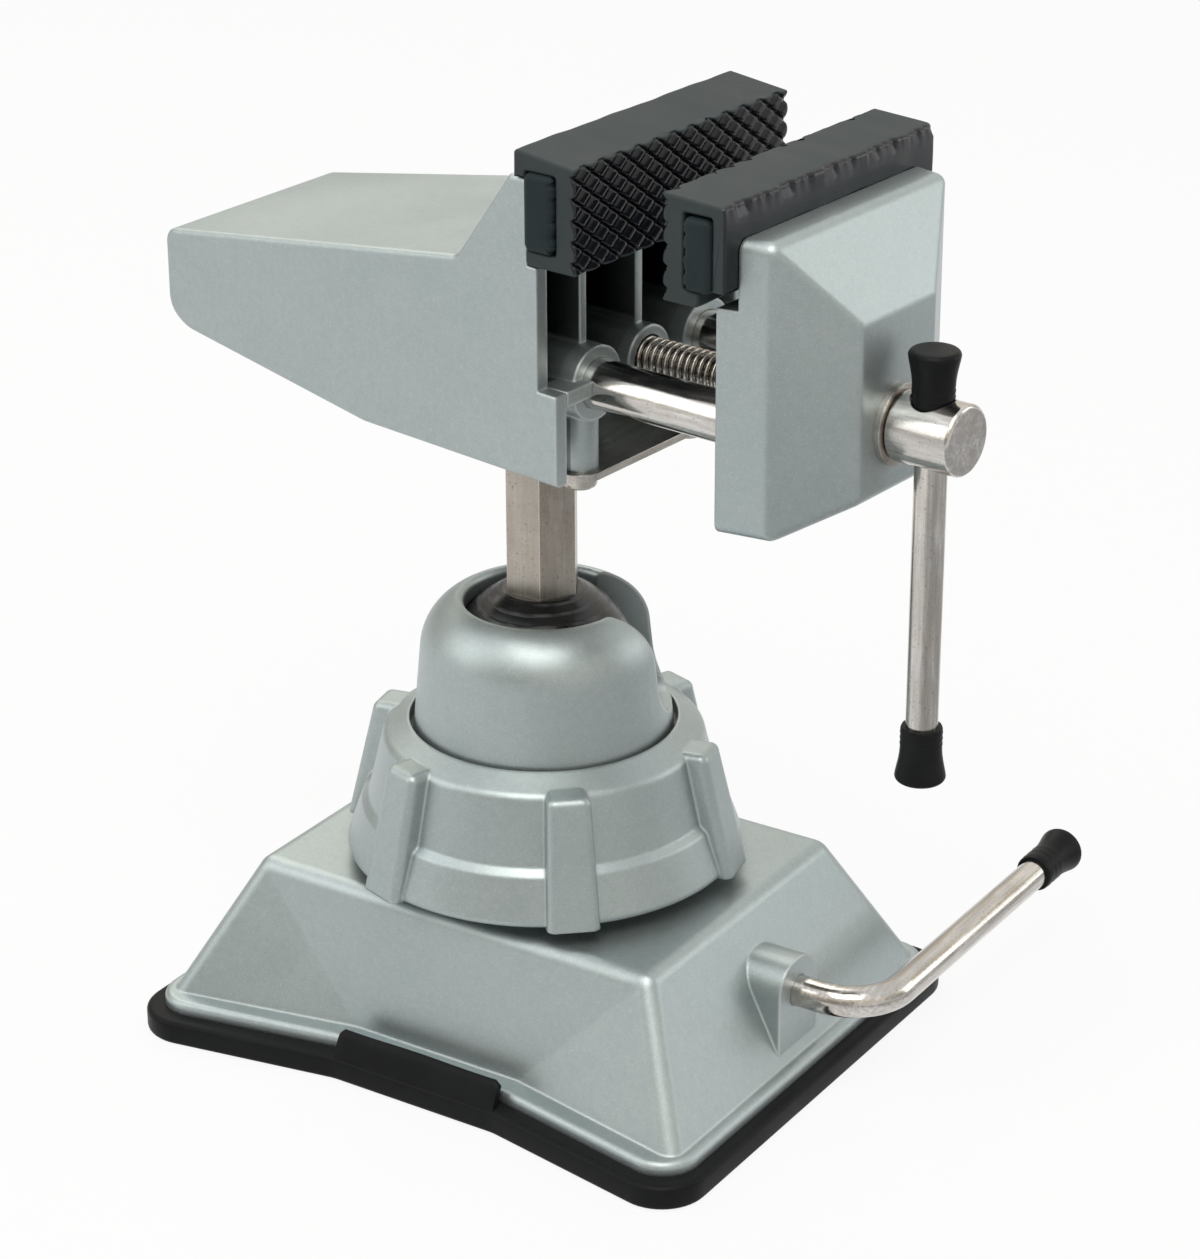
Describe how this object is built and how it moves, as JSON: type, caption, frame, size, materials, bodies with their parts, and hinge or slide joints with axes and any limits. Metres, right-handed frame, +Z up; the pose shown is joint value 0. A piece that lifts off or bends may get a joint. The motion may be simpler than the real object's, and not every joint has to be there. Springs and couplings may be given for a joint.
{
  "type": "suction base vise",
  "caption": "Small bench vise with rubber-faced jaws on a hexagonal post, held by a ball clamp over a faceted suction base with a locking lever.",
  "frame": {"origin": "on the bench surface, at the middle of the rubber foot's underside", "axes": "+Z up; +X towards the side of the base that the suction lever leaves; -Y towards the foot's pull tab. The jaws open along a line turned 5.41 degrees clockwise from +X, seen from above."},
  "size_m": [0.1825, 0.1436, 0.2041],
  "materials": {
    "silver_paint": "satin metallic paint on a die casting",
    "polished_steel": "polished",
    "satin_nickel": "satin nickel plate",
    "zinc_steel": "zinc plated",
    "spring_steel": "bright drawn",
    "black_rubber": "matte",
    "grey_rubber": "matte",
    "black_nylon": "satin, worn in rings",
    "seat_nylon": "matte"
  },
  "bodies": {
    "base": {"base_casting": "silver_paint", "suction_foot": "black_rubber", "ball_seat": "seat_nylon", "plunger_spring": "spring_steel"},
    "lever": {"lever_rod": "polished_steel", "lift_cam": "zinc_steel", "cam_pin": "zinc_steel", "shaft_clip": "zinc_steel", "lever_cap": "black_rubber"},
    "lifter": {"lift_plate": "zinc_steel"},
    "washer": {"slip_washer": "zinc_steel"},
    "ring": {"lock_ring": "silver_paint"},
    "dome": {"clamp_dome": "silver_paint"},
    "head": {"ball": "black_nylon", "hex_post": "satin_nickel", "fixed_jaw": "silver_paint", "post_plate": "zinc_steel", "plate_screws": "zinc_steel", "fixed_grip_core": "grey_rubber", "fixed_grip": "grey_rubber", "jaw_spring": "spring_steel"},
    "jaw": {"moving_jaw": "silver_paint", "moving_grip_core": "grey_rubber", "moving_grip": "grey_rubber", "guide_rods": "polished_steel", "screw_washer": "zinc_steel"},
    "screw": {"lead_screw": "polished_steel"},
    "bar": {"t_bar": "polished_steel", "bar_cap_top": "black_rubber", "bar_cap_bottom": "black_rubber"}
  },
  "joints": [
    {"name": "lever_swing", "type": "hinge", "parent": "base", "child": "lever", "pos_m": [0, 0, 0.0226], "axis": [1, 0, 0], "range_deg": [0, 180]},
    {"name": "plate_lift", "type": "slide", "parent": "base", "child": "lifter", "axis": [0, 0, 1], "range_m": [0, 0.0031], "deforming": ["plunger_spring"]},
    {"name": "ring_lift", "type": "slide", "parent": "base", "child": "washer", "axis": [0, 0, 1], "range_m": [0, 0.0015]},
    {"name": "ring_turn", "type": "hinge", "parent": "washer", "child": "ring", "pos_m": [0, 0, 0.055], "axis": [0, 0, 1], "range_deg": [0, 270.5]},
    {"name": "dome_turn", "type": "hinge", "parent": "base", "child": "dome", "pos_m": [0, 0, 0.0805], "axis": [0, 0, 1], "continuous": true},
    {"name": "ball_tilt", "type": "hinge", "parent": "dome", "child": "head", "pos_m": [0, 0, 0.0805], "axis": [-0.5736, 0.8192, 0], "range_deg": [-22, 60]},
    {"name": "jaw_slide", "type": "slide", "parent": "head", "child": "jaw", "axis": [0.9955, -0.0943, 0], "range_m": [-0.0195, 0.035], "deforming": ["jaw_spring"]},
    {"name": "screw_turn", "type": "hinge", "parent": "jaw", "child": "screw", "pos_m": [0.09328, -0.00883, 0.1548], "axis": [0.9955, -0.0943, 0], "range_deg": [-2341, 4201]},
    {"name": "bar_slide", "type": "slide", "parent": "screw", "child": "bar", "axis": [0, 0, 1], "range_m": [0, 0.0555]}
  ],
  "couplings": [
    {"joint": "plate_lift", "follows": "lever_swing", "m_per_rad": 0.00095493},
    {"joint": "ring_turn", "follows": "ring_lift", "rad_per_m": 3141.6},
    {"joint": "screw_turn", "follows": "jaw_slide", "rad_per_m": 2094.4}
  ]
}
